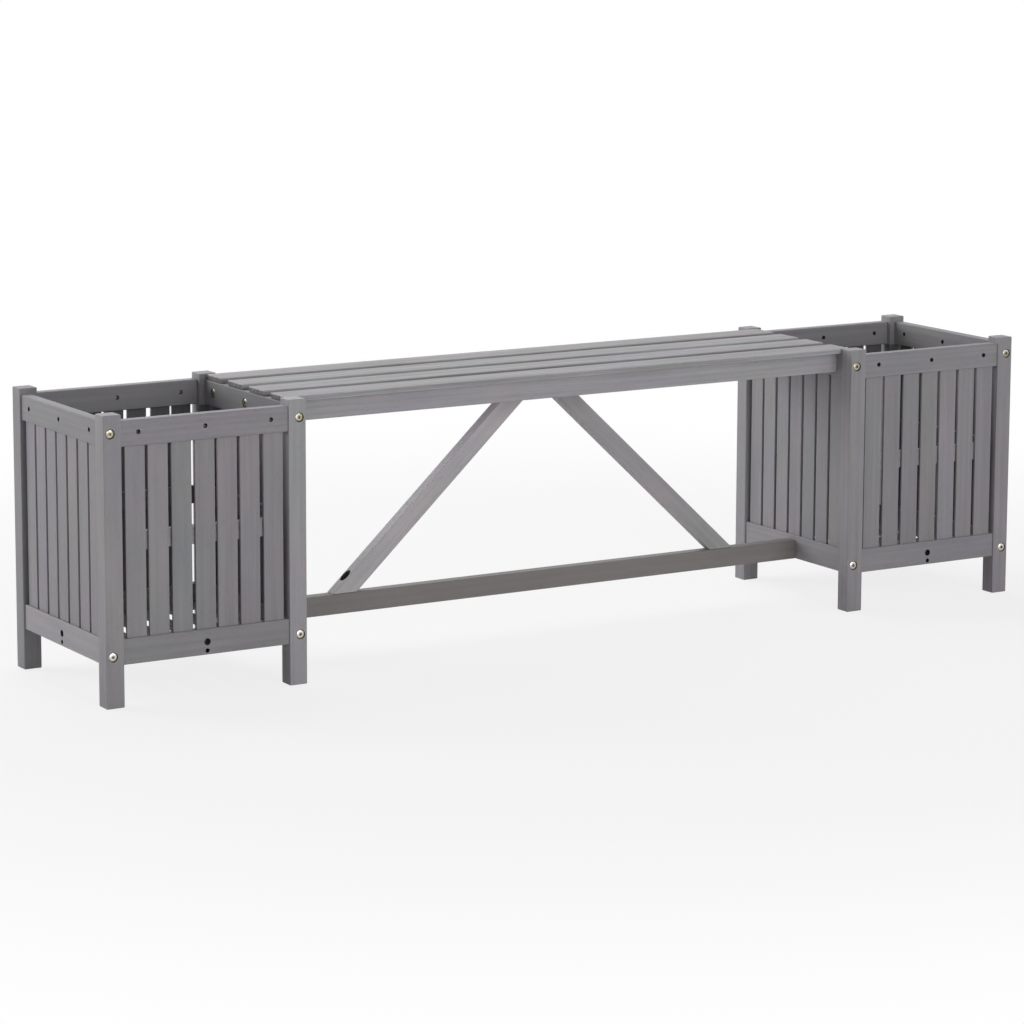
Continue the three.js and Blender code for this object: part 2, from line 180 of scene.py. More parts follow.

# How much paler or darker than the others some boards are drawn: partly their own wash, partly painted
# light and shade where the lamps reach them differently
board_paleness_and_painted_light = {
    "left_planter_leg_front_left": 1.10,
    "left_planter_leg_front_right": 1.22,
    "left_planter_leg_back_left": 0.89,
    "right_planter_leg_front_left": 1.06,
    "right_planter_leg_front_right": 1.06,
    "left_planter_top_rail_left": 0.93,
    "left_planter_top_rail_right": 0.86,
    "left_planter_bottom_rail_left": 1.25,
    "left_planter_bottom_rail_front": 0.93,
    "right_planter_top_rail_right": 0.92,
    "right_planter_panel_slats_front": 0.97,
    "brace_left": 1.25,
}

# Which ways the log's length, width and height run in a board with its grain along an axis
log_axes = {
    "x": ((1, 0, 0), (0, 1, 0), (0, 0, 1)),
    "y": ((0, 1, 0), (1, 0, 0), (0, 0, 1)),
    "z": ((0, 0, 1), (1, 0, 0), (0, 1, 0)),
}

outward = {"left": Vector((-1, 0, 0)), "right": Vector((1, 0, 0)),
           "front": Vector((0, -1, 0)), "back": Vector((0, 1, 0))}

# Cosines from which an edge or end lies along an axis, a face is flat and a face is a sawn end
along_axis = 0.99
flat_face = 0.999
sawn_end = 0.9

# Where in the log the boards were sawn, in metres, and how much their washes differ
timber_yard = random.Random(11)
log_half_length = 5
log_half_width = 0.12
log_near_radius = 0.03
log_far_radius = 0.16
paleness_spread = 0.028
hue_spread = 0.008

# Marks to a metre along the grain and across it, and their detail
fine_fibres = (9, 620, 4)
broad_fibres = (3, 110, 3)
wash_patches = (7, 22, 2)
pore_marks = (95, 1500, 1)
fibre_roughness = 0.55
noise_low = 0.3
noise_high = 0.7
pore_rim = 0.66
pore_floor = 0.74
ring_stretch = (0.12, 1, 1)
rings_to_metre = 38
ring_waver = 5
ring_detail = 2
ring_detail_scale = 0.35
ring_detail_roughness = 0.5

# How much of the timber the wash covers, and how far each kind of mark changes that
usual_cover = 0.84
fine_swing = 0.08
broad_swing = 0.11
patch_swing = 0.07
ring_swing = 0.04
pore_loss = 0.30
least_patch_hue = (0.97, 0.975, 0.97)
most_patch_hue = (1.03, 1.025, 1.03)
least_roughness = 0.5
most_roughness = 0.66
relief_noise_low = 0.2
relief_noise_high = 0.8
fibre_relief = 0.5
relief_strength = 0.5
relief_height = 0.0003


def pick(*pieces):
    """Selects these pieces and no others, the last one active."""
    bpy.ops.object.select_all(action="DESELECT")
    for piece in pieces:
        piece.select_set(True)
        bpy.context.view_layer.objects.active = piece


def saw_board(name, low, high):
    """A block of timber sawn to the span between two corners."""
    bpy.ops.object.select_all(action="DESELECT")
    bpy.ops.mesh.primitive_cube_add(size=1, location=(low + high) / 2, scale=high - low)
    bpy.ops.object.transform_apply(location=True, rotation=True, scale=True)
    board = bpy.context.object
    board.name = name
    board.data.name = name
    return board


def round_arrises(board, radius, along=None):
    """Rounds the edges that run along an axis, or all edges."""
    pick(board)
    bpy.ops.object.mode_set(mode="EDIT")
    bpy.ops.mesh.select_mode(type="EDGE")
    bpy.ops.mesh.select_all(action="DESELECT")
    shape = bmesh.from_edit_mesh(board.data)
    for edge in shape.edges:
        run = (edge.verts[1].co - edge.verts[0].co).normalized()
        edge.select_set(along is None or abs(run.dot(along)) > along_axis)
    bmesh.update_edit_mesh(board.data)
    bpy.ops.mesh.bevel(offset=radius, segments=arris_steps, affect="EDGES")
    bpy.ops.object.mode_set(mode="OBJECT")


def work(piece, tool, operation):
    """Cuts a tool's shape out of a piece, or glues it on."""
    step = piece.modifiers.new("work", "BOOLEAN")
    step.operation = operation
    step.solver = "EXACT"
    step.object = tool
    pick(piece)
    bpy.ops.object.modifier_apply(modifier=step.name)
    bpy.data.objects.remove(tool, do_unlink=True)


def mark_faces(mesh, name, values):
    """Writes one value for each face of a mesh."""
    mark = mesh.attributes.get(name) or mesh.attributes.new(name, "FLOAT", "FACE")
    mark.data.foreach_set("value", values)


def drill(piece, mouth, into, depth, diameter, sides=round_sides):
    """Drills a hole of a depth from its mouth in a face, and marks its walls as bored."""
    bpy.ops.object.select_all(action="DESELECT")
    bpy.ops.mesh.primitive_cylinder_add(
        vertices=sides, radius=diameter / 2, depth=depth + cutter_overrun,
        location=mouth + into * (depth - cutter_overrun) / 2,
        rotation=into.to_track_quat("Z", "Y").to_euler())
    bit = bpy.context.object
    mark_faces(bit.data, "bored", [1.0] * len(bit.data.polygons))
    if "bored" not in piece.data.attributes:
        mark_faces(piece.data, "bored", [0.0] * len(piece.data.polygons))
    work(piece, bit, "DIFFERENCE")


def chisel(piece, low, high):
    """Cuts a square hole or notch, the span between two corners."""
    work(piece, saw_board("chisel", low, high), "DIFFERENCE")


def score(piece, height):
    """Divides a piece's faces along a level line."""
    pick(piece)
    bpy.ops.object.mode_set(mode="EDIT")
    bpy.ops.mesh.select_all(action="SELECT")
    bpy.ops.mesh.bisect(plane_co=(0, 0, height), plane_no=(0, 0, 1))
    bpy.ops.object.mode_set(mode="OBJECT")


def another(piece, name, shift, mirror=None):
    """A second piece like the first, shifted, or mirrored first about a plane across one axis."""
    copy = piece.copy()
    copy.data = piece.data.copy()
    copy.name = name
    copy.data.name = name
    bpy.context.scene.collection.objects.link(copy)
    if mirror:
        axis, plane = mirror
        flip = Matrix.Identity(4)
        flip[axis][axis] = -1
        flip[axis][3] = 2 * plane
        copy.data.transform(flip)
        pick(copy)
        bpy.ops.object.mode_set(mode="EDIT")
        bpy.ops.mesh.select_all(action="SELECT")
        bpy.ops.mesh.remove_doubles()
        bpy.ops.mesh.normals_make_consistent(inside=False)
        bpy.ops.object.mode_set(mode="OBJECT")
    copy.data.transform(Matrix.Translation(shift))
    return copy


def points_of(mesh):
    """The places of a mesh's points, one row each."""
    places = np.empty(len(mesh.vertices) * 3)
    mesh.vertices.foreach_get("co", places)
    return places.reshape(-1, 3)


def mark_points(mesh, name, kind, values):
    """Writes one value for each point of a mesh."""
    mark = mesh.attributes.new(name, kind, "POINT")
    field = "value" if kind == "FLOAT" else "vector"
    mark.data.foreach_set(field, values.astype(np.float32).ravel())


def mark_wood(board, axes, node):
    """Writes on a board where its points lay in the log, how pale its wash and painted light and shade
    make it, and its arrises.
    """
    mesh = board.data
    axes = np.array(axes, float)
    points = points_of(mesh)
    log_place = np.array([timber_yard.uniform(-log_half_length, log_half_length),
                          timber_yard.uniform(-log_half_width, log_half_width),
                          timber_yard.uniform(log_near_radius, log_far_radius)])
    mark_points(mesh, "grain", "FLOAT_VECTOR", (points - points.mean(0)) @ axes.T + log_place)
    # The board's tone is partly its own wash and partly painted light and shade
    tone = board_paleness_and_painted_light.get(node, 1) * timber_yard.gauss(1, paleness_spread)
    hue = np.array([timber_yard.gauss(0, hue_spread) for _ in range(3)])
    tint = np.ones((len(points), 1)) * (tone + hue - hue.mean())
    mark_points(mesh, "tint", "FLOAT_VECTOR", tint)
    arris = np.ones(len(points))
    for face in mesh.polygons:
        if np.abs(axes @ np.array(face.normal)).max() > flat_face:
            arris[list(face.vertices)] = 0
    mark_points(mesh, "arris", "FLOAT", arris)
    mark_faces(mesh, "end_grain", [float(abs(face.normal.dot(Vector(axes[0]))) > sawn_end)
                                   for face in mesh.polygons])


def finish_off(piece, finish, nodes):
    """Smooths a piece's rounded edges, keeps its flats flat, stains it and fits it to the bench."""
    pick(piece)
    bpy.ops.object.shade_smooth_by_angle(angle=smooth_angle)
    flats = piece.modifiers.new("flats", "WEIGHTED_NORMAL")
    flats.keep_sharp = True
    bpy.ops.object.modifier_apply(modifier=flats.name)
    piece.data.materials.clear()
    piece.data.materials.append(finish)
    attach(piece, "root")
    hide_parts(*nodes)


def fit_board(board, grain, finish, node):
    """Stains a board whose grain runs along an axis and fits it in the place of a node."""
    mark_wood(board, log_axes[grain] if isinstance(grain, str) else grain, node)
    finish_off(board, finish, [node])


def mark_on(finish, name, output="Fac"):
    """What was written on a piece under a name."""
    return add_node(finish, "ShaderNodeAttribute", {"attribute_name": name}).outputs[output]


def fibres(finish, grain, along, across, detail):
    """Noise drawn out along the grain, with so many marks to a metre along it and across it."""
    drawn = add_node(finish, "ShaderNodeMapping",
                     inputs={"Vector": grain, "Scale": (along, across, across)})
    return add_node(finish, "ShaderNodeTexNoise", inputs={
        "Vector": drawn.outputs["Vector"], "Scale": 1, "Detail": detail, "Roughness": fibre_roughness})


def year_rings(finish, grain):
    """The rings of the tree, stretched along the log."""
    ring_space = add_node(finish, "ShaderNodeMapping", inputs={"Vector": grain, "Scale": ring_stretch})
    return add_node(finish, "ShaderNodeTexWave", {"wave_type": "RINGS", "rings_direction": "X"}, {
        "Vector": ring_space.outputs["Vector"], "Scale": rings_to_metre, "Distortion": ring_waver,
        "Detail": ring_detail, "Detail Scale": ring_detail_scale,
        "Detail Roughness": ring_detail_roughness}).outputs["Fac"]


def spread(finish, value, low, high, to_low, to_high):
    """Turns a value between low and high into one between two others."""
    return add_node(finish, "ShaderNodeMapRange", inputs={
        "Value": value, "From Min": low, "From Max": high,
        "To Min": to_low, "To Max": to_high}).outputs["Result"]


def swing(finish, noise, reach):
    """Turns noise into a change of as much as the reach, either way."""
    return spread(finish, noise, noise_low, noise_high, -reach, reach)


def sum_up(finish, *values):
    """Adds values up."""
    total = values[0]
    for value in values[1:]:
        total = add_node(finish, "ShaderNodeMath", {"operation": "ADD"},
                         {0: total, 1: value}).outputs["Value"]
    return total


def mix_colours(finish, factor, first, second, clamped=True):
    """Mixes two colours, each one a value or another node's."""
    return add_node(finish, "ShaderNodeMix", {"data_type": "RGBA", "clamp_factor": clamped}, {
        "Factor": factor, "A": first, "B": second}).outputs["Result"]


def roughen(finish, height, strength, distance):
    """Gives a surface its fine relief."""
    relief = add_node(finish, "ShaderNodeBump", inputs={
        "Strength": strength, "Distance": distance, "Height": height})
    surface = finish.node_tree.nodes["Principled BSDF"]
    finish.node_tree.links.new(relief.outputs["Normal"], surface.inputs["Normal"])


def grey_wash(name, wash, streaks=1.0, arris_highlight=0.15, ends=0.0, shade_depths=slat_shade_depths):
    """Hardwood under a thin grey stain: the stain is thinner in the pores and where the brush didn't
    reach, thicker or thinner on the sawn ends, and it dried a little warmer or cooler from patch to
    patch. The arrises are drawn paler as a painted highlight, drilled holes near black as painted
    shade, and painted shade darkens the wood from one depth behind the outer face to another."""
    finish = bpy.data.materials.new(name)
    finish.use_nodes = True
    grain = mark_on(finish, "grain", "Vector")
    fine = fibres(finish, grain, *fine_fibres).outputs["Fac"]
    broad = fibres(finish, grain, *broad_fibres).outputs["Fac"]
    patches = fibres(finish, grain, *wash_patches).outputs
    pores = fibres(finish, grain, *pore_marks).outputs["Fac"]
    in_pore = spread(finish, pores, pore_rim, pore_floor, 0, 1)
    cover = sum_up(
        finish,
        swing(finish, fine, fine_swing * streaks),
        swing(finish, broad, broad_swing * streaks),
        swing(finish, patches["Fac"], patch_swing),
        spread(finish, year_rings(finish, grain), 0, 1, -ring_swing * streaks, ring_swing * streaks),
        spread(finish, in_pore, 0, 1, usual_cover, usual_cover - pore_loss),
        # painted highlight along the arrises
        spread(finish, mark_on(finish, "arris"), 0, 1, 0, arris_highlight),
        spread(finish, mark_on(finish, "end_grain"), 0, 1, 0, ends))
    stained = mix_colours(finish, cover, (*bare_timber, 1), (*wash, 1), clamped=False)
    # Drilled holes are drawn near black, painted shade inside them
    bored_shaded = mix_colours(finish, mark_on(finish, "bored"), stained, (*bore_painted_shade, 1))
    patch_hue = add_node(finish, "ShaderNodeMapRange", {"data_type": "FLOAT_VECTOR"}, {
        "Vector": patches["Color"], "From Min": (noise_low,) * 3, "From Max": (noise_high,) * 3,
        "To Min": least_patch_hue, "To Max": most_patch_hue})
    hue = add_node(finish, "ShaderNodeVectorMath", {"operation": "MULTIPLY"},
                   {0: patch_hue.outputs["Vector"], 1: mark_on(finish, "tint", "Vector")})
    coloured = add_node(finish, "ShaderNodeVectorMath", {"operation": "MULTIPLY"},
                        {0: bored_shaded, 1: hue.outputs["Vector"]})
    # Painted shade, darker the further behind the outer face
    painted_shade = spread(finish, mark_on(finish, "depth"), *shade_depths, 1, painted_shade_deepest)
    dimmed = add_node(finish, "ShaderNodeVectorMath", {"operation": "SCALE"},
                      {0: coloured.outputs["Vector"], "Scale": painted_shade})
    surface = finish.node_tree.nodes["Principled BSDF"]
    finish.node_tree.links.new(dimmed.outputs["Vector"], surface.inputs["Base Color"])
    matt = spread(finish, broad, noise_low, noise_high, least_roughness, most_roughness)
    finish.node_tree.links.new(matt, surface.inputs["Roughness"])
    height = sum_up(finish,
                    spread(finish, fine, relief_noise_low, relief_noise_high, 0, fibre_relief),
                    spread(finish, in_pore, 0, 1, 0, -1))
    roughen(finish, height, relief_strength, relief_height)
    return finish


leg_finish = grey_wash("leg_grey_wash", leg_wash, ends=leg_end_cover, shade_depths=leg_shade_depths)


def moved_to(point, **changes):
    """A point with some of its coordinates changed."""
    moved = point.copy()
    for axis, value in changes.items():
        setattr(moved, axis, value)
    return moved


panel_low_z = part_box("left_planter_bottom_rail_front")[1].z
panel_high_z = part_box("left_planter_top_rail_front")[0].z


def mark_recess(leg, outer_x, outer_y):
    """Writes how far behind its outer faces each point of a leg lies, between the rails."""
    points = points_of(leg.data)
    behind = np.abs(points[:, :2] - (outer_x, outer_y)).min(axis=1)
    between = (points[:, 2] > panel_low_z + fit) & (points[:, 2] < panel_high_z - fit)
    mark_points(leg.data, "depth", "FLOAT", np.where(between, behind, 0))


first_leg_low, first_leg_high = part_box("left_planter_leg_front_left")
first_leg = saw_board("first_leg", first_leg_low, first_leg_high)
round_arrises(first_leg, leg_arris)
for height in (panel_low_z, panel_low_z + recess_fade, panel_high_z - recess_fade, panel_high_z):
    score(first_leg, height)
for rail in ("top_rail_front", "bottom_rail_front"):
    rail_low, rail_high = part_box(f"left_planter_{rail}")
    tenon_low_z = rail_low.z + rail_groove_depth + tenon_shoulder
    tenon_high_z = rail_high.z - rail_groove_depth - tenon_shoulder
    line = (rail_low.y + rail_high.y) / 2
    chisel(first_leg,
           Vector((rail_low.x - fit, line - rail_tenon_thickness / 2 - fit, tenon_low_z - fit)),
           Vector((first_leg_high.x + cutter_overrun, line + rail_tenon_thickness / 2 + fit,
                   tenon_high_z + fit)))
for level in ("top", "bottom"):
    bolt_low, bolt_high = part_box(f"left_planter_leg_bolt_left_{level}")
    mouth = moved_to((bolt_low + bolt_high) / 2, y=first_leg_low.y)
    drill(first_leg, mouth, outward["back"], head_hole_depth, head_hole_diameter)
    drill(first_leg, mouth, outward["back"], first_leg_high.y - first_leg_low.y + cutter_overrun,
          shank_hole_diameter)
for planter in planters:
    planter_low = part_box(f"{planter}_leg_front_left")[0]
    planter_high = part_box(f"{planter}_leg_back_right")[1]
    planter_middle = (planter_low + planter_high) / 2
    shift = Vector((planter_low.x - first_leg_low.x, 0, 0))
    for side in ("left", "right"):
        for row in ("front", "back"):
            leg = another(first_leg, f"{planter}_{row}_{side}_leg", shift,
                          mirror=(1, 0) if row == "back" else None)
            if side == "right":
                turned = another(leg, "turned_leg", Vector(), mirror=(0, planter_middle.x))
                bpy.data.objects.remove(leg, do_unlink=True)
                turned.name = f"{planter}_{row}_{side}_leg"
                leg = turned
            # The leg's depth behind its outer faces carries painted shade beside the slats
            mark_recess(leg, (planter_low if side == "left" else planter_high).x,
                        (planter_low if row == "front" else planter_high).y)
            fit_board(leg, "z", leg_finish, f"{planter}_leg_{row}_{side}")
bpy.data.objects.remove(first_leg, do_unlink=True)

# Rails
# Four top rails and four bottom rails frame each planter. The front and back ones are tenoned into
# the legs and the side ones bolted between them. A groove takes the slats, and the holes of the
# rails that carry the bench are sunk for bolt heads.
rail_arris = 0.0012
seat_hole_rise = 0.0185
frame_hole_diameter = 0.0094
frame_hole_rise = 0.0177
dowel_hole_diameter = 0.0062
dowel_hole_rise = 0.0057
slat_thickness = 0.004
rail_wash = (0.3453, 0.3323, 0.3581)
rail_finish = grey_wash("rail_grey_wash", rail_wash)
x_axis = Vector((1, 0, 0))
y_axis = Vector((0, 1, 0))
seat_bolt_middle = sum(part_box("seat_bolt_left_back"), Vector()) / 2
seat_bolt_rows = (-seat_bolt_middle.y, 0, seat_bolt_middle.y)


def make_rail(name, node, runs_x, is_top):
    """A grooved and drilled rail, made at the place of a rail of the left planter."""
    low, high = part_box(node)
    near_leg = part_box("left_planter_leg_front_left")[1]
    far_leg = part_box("left_planter_leg_back_right")[0]
    full_low, full_high = low.copy(), high.copy()
    if runs_x:
        low.x = near_leg.x + fit
        high.x = far_leg.x - fit
    run, across = (0, 1) if runs_x else (1, 0)
    rail = saw_board(name, low, high)
    round_arrises(rail, rail_arris, x_axis if runs_x else y_axis)
    middle = (low + high) / 2
    slat_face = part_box(f"left_planter_panel_slats_{'front' if runs_x else 'left'}")[0][across]
    groove_low, groove_high = low.copy(), high.copy()
    groove_low[run] -= cutter_overrun
    groove_high[run] += cutter_overrun
    groove_low[across] = slat_face - fit
    groove_high[across] = slat_face + slat_thickness + fit
    if is_top:
        groove_low.z = low.z - cutter_overrun
        groove_high.z = low.z + rail_groove_depth
    else:
        groove_low.z = high.z - rail_groove_depth
        groove_high.z = high.z + cutter_overrun
    chisel(rail, groove_low, groove_high)
    if runs_x:
        tenon_low, tenon_high = full_low.copy(), full_high.copy()
        tenon_low.y = middle.y - rail_tenon_thickness / 2
        tenon_high.y = middle.y + rail_tenon_thickness / 2
        tenon_low.z = low.z + rail_groove_depth + tenon_shoulder
        tenon_high.z = high.z - rail_groove_depth - tenon_shoulder
        work(rail, saw_board("tenons", tenon_low, tenon_high), "UNION")
    into = y_axis if runs_x else x_axis
    mouth = middle.copy()
    mouth[across] = low[across]
    through = high[across] - low[across] + cutter_overrun
    if is_top:
        for along in seat_bolt_rows:
            spot = mouth.copy()
            spot[run] += along
            spot.z = low.z + seat_hole_rise
            drill(rail, spot, into, through, shank_hole_diameter)
    else:
        for rise, diameter in ((frame_hole_rise, frame_hole_diameter),
                               (dowel_hole_rise, dowel_hole_diameter)):
            drill(rail, moved_to(mouth, z=low.z + rise), into, through, diameter)
    return rail


def sink_heads(rail, side, is_top):
    """Sinks the holes of a rail that carries the bench, in its face inside the planter."""
    points = points_of(rail.data)
    into = outward[side]
    face = points[:, 0].min() if side == "right" else points[:, 0].max()
    bottom = points[:, 2].min()
    if is_top:
        for along in seat_bolt_rows:
            drill(rail, Vector((face, along, bottom + seat_hole_rise)), into,
                  head_hole_depth, head_hole_diameter)
    else:
        drill(rail, Vector((face, 0, bottom + frame_hole_rise)), into,
              head_hole_depth, head_hole_diameter)


for level, is_top in (("top", True), ("bottom", False)):
    for model_wall, walls, runs_x in (("front", ("front", "back"), True),
                                      ("left", ("left", "right"), False)):
        model_node = f"left_planter_{level}_rail_{model_wall}"
        model_rail = make_rail("model_rail", model_node, runs_x, is_top)
        across = 1 if runs_x else 0
        rail_line = sum(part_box(model_node), Vector())[across] / 2
        for planter in planters:
            for wall in walls:
                node = f"{planter}_{level}_rail_{wall}"
                rail = another(model_rail, f"{planter}_{wall}_{level}_rail",
                               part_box(node)[0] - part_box(model_node)[0],
                               mirror=None if wall == model_wall else (across, rail_line))
                bench_side = "right" if planter == "left_planter" else "left"
                if wall == bench_side:
                    sink_heads(rail, wall, is_top)
                fit_board(rail, "x" if runs_x else "y", rail_finish, node)
        bpy.data.objects.remove(model_rail, do_unlink=True)

# Slats
# Each wall has seven thin upright slats that stand loose in the grooves of its rails. They were
# spaced by hand, so the gaps differ a little.
slats_in_wall = 7
slat_gap = 0.0052
slat_arris = 0.0007
slat_stray = 0.0003

# How far along its wall each slat stands from its even place, where the photo shows it
hand_set_slats = {
    "left_planter_panel_slats_front": (0.0019, 0.0008, 0.0006, 0.0005, -0.0009, -0.0016, -0.001),
    "left_planter_panel_slats_back": (0, 0, -0.0008, -0.0017, -0.0014, 0.0006, -0.0015),
}

slat_wash = (0.3505, 0.3382, 0.3625)
slat_finish = grey_wash("slat_grey_wash", slat_wash)
z_axis = Vector((0, 0, 1))


def mark_depth(board, across, outer_face):
    """Writes how far behind its wall's outer face each point of a board lies."""
    mark_points(board.data, "depth", "FLOAT", np.abs(points_of(board.data)[:, across] - outer_face))


for model_wall, walls, run in (("front", ("front", "back"), 0), ("left", ("left", "right"), 1)):
    across = 1 - run
    model_low, model_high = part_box(f"left_planter_panel_slats_{model_wall}")
    near_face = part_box("left_planter_leg_front_left")[1][run]
    far_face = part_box("left_planter_leg_back_right")[0][run]
    slat_width = (far_face - near_face - (slats_in_wall + 1) * slat_gap) / slats_in_wall
    low, high = model_low.copy(), model_high.copy()
    low[run] = near_face + slat_gap
    high[run] = low[run] + slat_width
    high[across] = low[across] + slat_thickness
    model_slat = saw_board("model_slat", low, high)
    round_arrises(model_slat, slat_arris, z_axis)
    for planter in planters:
        for wall in walls:
            node = f"{planter}_panel_slats_{wall}"
            wall_low, wall_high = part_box(node)
            outer_face = (wall_low if wall == model_wall else wall_high)[across]
            low_face = outer_face if wall == model_wall else outer_face - slat_thickness
            for count in range(slats_in_wall):
                shift = Vector()
                shift[run] = (wall_low - model_low)[run] + count * (slat_width + slat_gap)
                if node in hand_set_slats:
                    shift[run] += hand_set_slats[node][count]
                else:
                    shift[run] += timber_yard.uniform(-slat_stray, slat_stray)
                shift[across] = low_face - model_low[across]
                slat = another(model_slat, f"{planter}_{wall}_slat_{count + 1}", shift)
                # The depth carries painted shade on the slats' sides in the gaps and on their inner faces
                mark_depth(slat, across, outer_face)
                fit_board(slat, "z", slat_finish, node)
    bpy.data.objects.remove(model_slat, do_unlink=True)

# Battens
# One batten runs across the back of each wall's slats at mid height and holds them upright. It is
# glued and pinned from inside, and ends behind the outermost slats, except one set against a leg.
batten_arris = 0.0008
batten_height = 0.025
batten_inset = 0.0068
hand_set_battens = {"left_planter_panel_slats_back": 0.0117}
# The battens' wash is drawn paler than the slats', painted light that lifts them out of the shade behind
# the slats
batten_wash_and_painted_light = (0.43, 0.415, 0.43)
# Depths behind the outer face between which painted shade darkens the battens
batten_shade_depths = (0.006, 0.014)
batten_finish = grey_wash("batten_grey_wash", batten_wash_and_painted_light, shade_depths=batten_shade_depths)

for planter in planters:
    for wall, run in (("front", 0), ("back", 0), ("left", 1), ("right", 1)):
        across = 1 - run
        node = f"{planter}_panel_slats_{wall}"
        low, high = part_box(node)
        if wall in ("front", "left"):
            outer_face = low[across]
            low[across] += slat_thickness + fit
        else:
            outer_face = high[across]
            high[across] -= slat_thickness + fit
        low[run] += batten_inset + hand_set_battens.get(node, 0)
        high[run] -= batten_inset - hand_set_battens.get(node, 0)
        middle_z = (low.z + high.z) / 2
        low.z = middle_z - batten_height / 2
        high.z = middle_z + batten_height / 2
        batten = saw_board(f"{planter}_{wall}_batten", low, high)
        round_arrises(batten, batten_arris, x_axis if run == 0 else y_axis)
        # The depth carries painted shade on the battens' inner part
        mark_depth(batten, across, outer_face)
        fit_board(batten, "x" if run == 0 else "y", batten_finish, node)

# Planter floor
# Six slats lie from front to back on two cleats inside the bottom rails, notched over them, and
# carry a pot or a liner. Water drains through the gaps.
floor_slat_count = 6
floor_side_gap = 0.0005
floor_slat_width = 0.020
floor_slat_thickness = 0.0065
floor_cleat_width = 0.014
floor_cleat_height = 0.0055
floor_arris = 0.0008
floor_wash = (0.270, 0.262, 0.256)
floor_finish = grey_wash("floor_grey_wash", floor_wash)

for planter in planters:
    node = f"{planter}_floor_slats"
    low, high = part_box(node)
    cleat_top = low.z + floor_cleat_height
    for row in ("front", "back"):
        cleat_low, cleat_high = low.copy(), moved_to(high, z=cleat_top)
        if row == "front":
            cleat_high.y = low.y + floor_cleat_width
        else:
            cleat_low.y = high.y - floor_cleat_width
        cleat = saw_board(f"{planter}_floor_cleat_{row}", cleat_low, cleat_high)
        round_arrises(cleat, floor_arris, x_axis)
        fit_board(cleat, "x", floor_finish, node)
    near_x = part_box(f"{planter}_leg_front_left")[1].x + floor_side_gap
    far_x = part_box(f"{planter}_leg_front_right")[0].x - floor_side_gap
    pitch = (far_x - near_x - floor_slat_width) / (floor_slat_count - 1)
    slat_low = Vector((near_x, low.y, high.z - floor_slat_thickness))
    slat_high = Vector((near_x + floor_slat_width, high.y, high.z))
    model_slat = saw_board("model_slat", slat_low, slat_high)
    round_arrises(model_slat, floor_arris, y_axis)
    for row_y in (low.y, high.y - floor_cleat_width):
        chisel(model_slat, Vector((near_x - cutter_overrun, row_y - fit, low.z)),
               Vector((slat_high.x + cutter_overrun, row_y + floor_cleat_width + fit,
                       cleat_top + fit)))
    for count in range(floor_slat_count):
        slat = another(model_slat, f"{planter}_floor_slat_{count + 1}", x_axis * pitch * count)
        fit_board(slat, "y", floor_finish, node)
    bpy.data.objects.remove(model_slat, do_unlink=True)

# Seat slats
# Four wide slats with well rounded arrises lie from one planter's inner top rail to the other's.
# They take the sun and the rain, so their wash is the palest and streaked along the grain.
seat_arris = 0.0018
seat_wash = (0.3880, 0.3826, 0.4030)
seat_streaks = 3.4
# The seat's arrises are drawn much paler, a painted highlight
seat_arris_highlight = 0.6
seat_end_cover = -0.7
seat_finish = grey_wash("seat_grey_wash", seat_wash, seat_streaks, seat_arris_highlight, seat_end_cover)
seat_names = ("front", "front_middle", "back_middle", "back")

first_seat_low, first_seat_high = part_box("seat_slat_1")
model_slat = saw_board("model_slat", first_seat_low, first_seat_high)
round_arrises(model_slat, seat_arris)
for count, seat_name in enumerate(seat_names):
    node = f"seat_slat_{count + 1}"
    slat = another(model_slat, f"seat_slat_{seat_name}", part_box(node)[0] - first_seat_low)
    fit_board(slat, "x", seat_finish, node)
bpy.data.objects.remove(model_slat, do_unlink=True)

# Seat frame
# Two aprons run below the seat slats from planter to planter, with a cleat across them at each end
# and in the middle. The end cleats and the aprons are drilled for the seat bolts.
frame_arris = 0.0011
seat_bolt_hole_depth = 0.016
frame_wash = (0.460, 0.443, 0.470)
frame_finish = grey_wash("seat_frame_grey_wash", frame_wash)

for node, name, grain in (("apron_front", "front_apron", "x"), ("apron_back", "back_apron", "x"),
                          ("end_cleat_left", "left_end_cleat", "y"),
                          ("end_cleat_right", "right_end_cleat", "y"),
                          ("centre_cleat", "middle_cleat", "y")):
    low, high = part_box(node)
    board = saw_board(name, low, high)
    round_arrises(board, frame_arris, x_axis if grain == "x" else y_axis)
    hole_z = seat_bolt_middle.z
    hole_y = (low.y + high.y) / 2
    if node != "centre_cleat" and node != "end_cleat_right":
        drill(board, Vector((low.x, hole_y, hole_z)), x_axis, seat_bolt_hole_depth, shank_hole_diameter)
    if node != "centre_cleat" and node != "end_cleat_left":
        drill(board, Vector((high.x, hole_y, hole_z)), -x_axis, seat_bolt_hole_depth, shank_hole_diameter)
    fit_board(board, grain, frame_finish, node)

# Stretcher
# A single rail low down ties the planters together. Its ends are bored for a bolt and a dowel and
# its top for the bolts of the braces.
stretcher_bolt_hole_depth = 0.037
brace_bolt_hole_depth = 0.022
dowel_reach = 0.015
stretcher_wash = (0.276, 0.252, 0.246)
stretcher_finish = grey_wash("stretcher_grey_wash", stretcher_wash)

